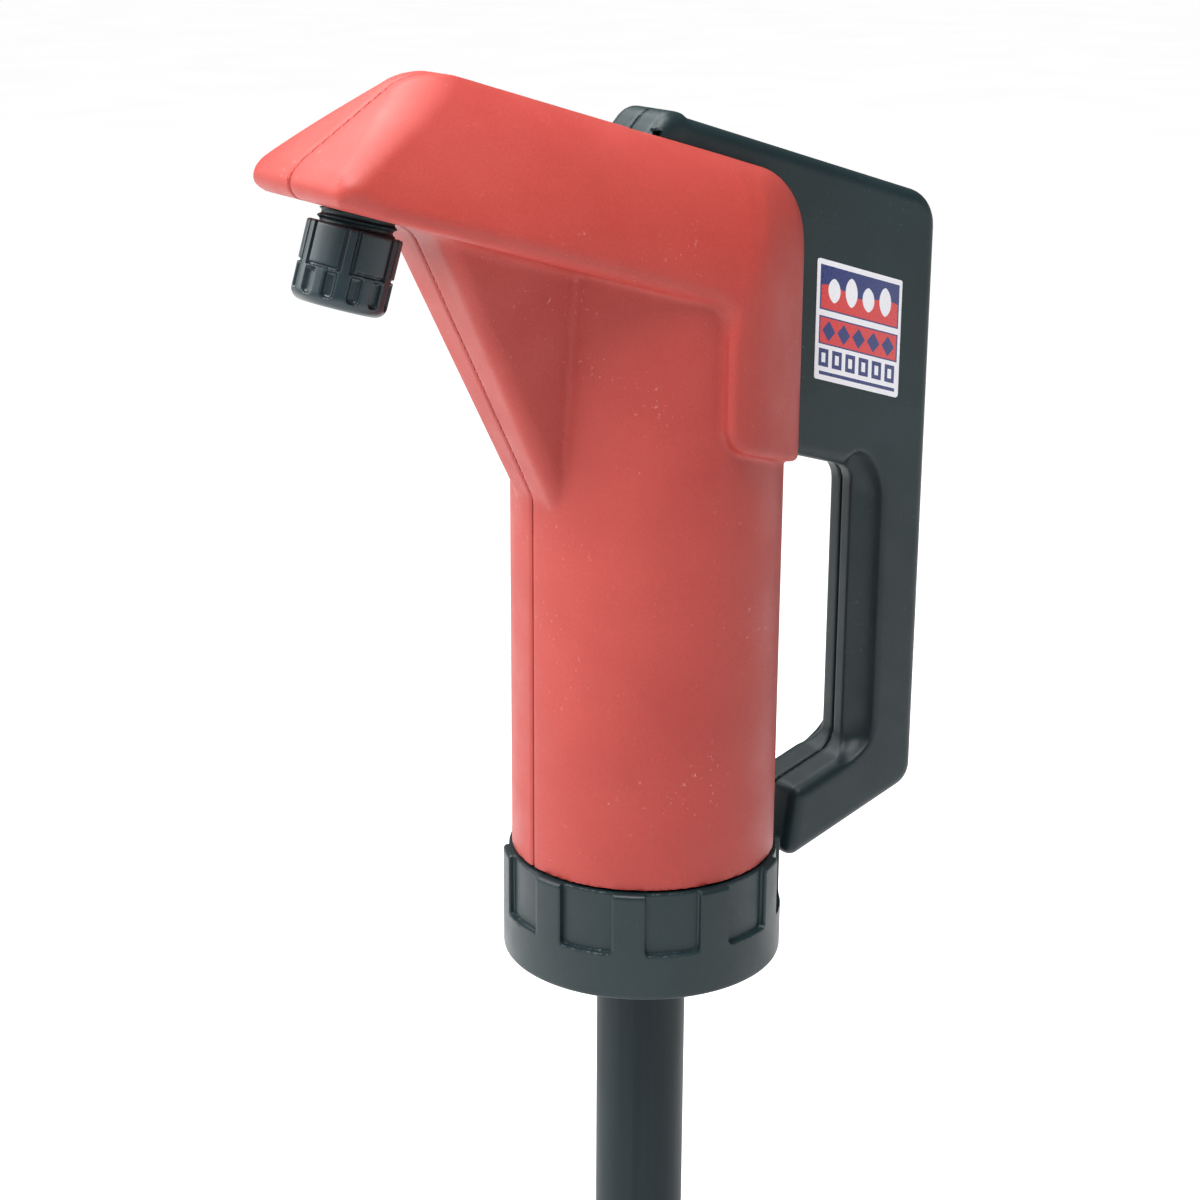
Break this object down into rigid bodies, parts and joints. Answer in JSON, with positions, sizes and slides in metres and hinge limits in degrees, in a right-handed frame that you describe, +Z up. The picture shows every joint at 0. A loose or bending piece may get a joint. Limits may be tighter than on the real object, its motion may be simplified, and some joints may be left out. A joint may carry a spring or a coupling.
{
  "type": "lever-action drum pump",
  "caption": "Lever-action drum pump with a red two-part housing, a looped black lever handle, a castellated drum nut, a tilted hose outlet and a telescopic suction tube.",
  "frame": {"origin": "centre of the drum nut's lower face, on the barrel axis", "axes": "+Z up along the barrel, spout towards -X, handle towards +X, +Y to the far side"},
  "size_m": [0.2451, 0.1012, 0.6585],
  "materials": {
    "red_plastic": "fine spark-eroded grain, satin",
    "black_plastic": "fine grain, satin",
    "tube_plastic": "smooth extruded, satin",
    "rubber": "matte",
    "steel": "brushed",
    "label": "printed vinyl"
  },
  "bodies": {
    "housing": {"shell_near": "red_plastic", "shell_far": "red_plastic", "shell_screws": "steel", "column_screws": "steel", "pump_cylinder": "black_plastic", "cylinder_head": "black_plastic", "cylinder_head_seal": "rubber", "gland_nut": "black_plastic", "gland_seal": "rubber", "foot_valve_seat": "black_plastic", "foot_valve_cage": "black_plastic", "drum_gasket": "rubber", "suction_tube_upper": "tube_plastic", "tube_collar_upper": "tube_plastic", "outlet_duct": "black_plastic", "outlet_spout": "black_plastic", "outlet_seal": "rubber", "pivot_pin": "steel"},
    "handle": {"handle_near": "black_plastic", "handle_far": "black_plastic", "handle_screws": "steel", "handle_label": "label", "pivot_bush_near": "black_plastic", "pivot_bush_far": "black_plastic"},
    "piston": {"piston_rod": "steel", "rod_eye": "steel", "lever_pin": "steel", "piston_body": "black_plastic", "piston_seal": "rubber", "piston_nut": "steel"},
    "piston_valve": {"piston_valve_disc": "rubber"},
    "foot_valve": {"foot_valve_disc": "rubber"},
    "drum_nut": {"drum_nut": "black_plastic"},
    "hose_nut": {"hose_nut": "black_plastic", "hose_washer": "rubber"},
    "tube_middle": {"suction_tube_middle": "tube_plastic", "tube_collar_middle": "tube_plastic"},
    "tube_lower": {"suction_tube_lower": "tube_plastic"}
  },
  "joints": [
    {"name": "handle_swing", "type": "hinge", "parent": "housing", "child": "handle", "pos_m": [0.036, 0, 0.25], "axis": [0, -1, 0], "range_deg": [0, 64]},
    {"name": "piston_stroke", "type": "slide", "parent": "housing", "child": "piston", "axis": [0, 0, -1], "range_m": [0, 0.045]},
    {"name": "piston_valve_lift", "type": "slide", "parent": "piston", "child": "piston_valve", "axis": [0, 0, 1], "range_m": [0, 0.003]},
    {"name": "foot_valve_lift", "type": "slide", "parent": "housing", "child": "foot_valve", "axis": [0, 0, 1], "range_m": [0, 0.003]},
    {"name": "drum_nut_turn", "type": "hinge", "parent": "housing", "child": "drum_nut", "pos_m": [0, 0, 0.02], "axis": [0, 0, 1], "continuous": true},
    {"name": "hose_nut_turn", "type": "hinge", "parent": "housing", "child": "hose_nut", "pos_m": [-0.11217, 0, 0.25156], "axis": [-0.2924, 0, -0.9563], "continuous": true},
    {"name": "tube_middle_slide", "type": "slide", "parent": "housing", "child": "tube_middle", "axis": [0, 0, -1], "range_m": [0, 0.25]},
    {"name": "tube_lower_slide", "type": "slide", "parent": "tube_middle", "child": "tube_lower", "axis": [0, 0, -1], "range_m": [0, 0.25]}
  ],
  "couplings": [
    {"joint": "piston_stroke", "follows": "handle_swing", "m_per_rad": 0.040282}
  ]
}
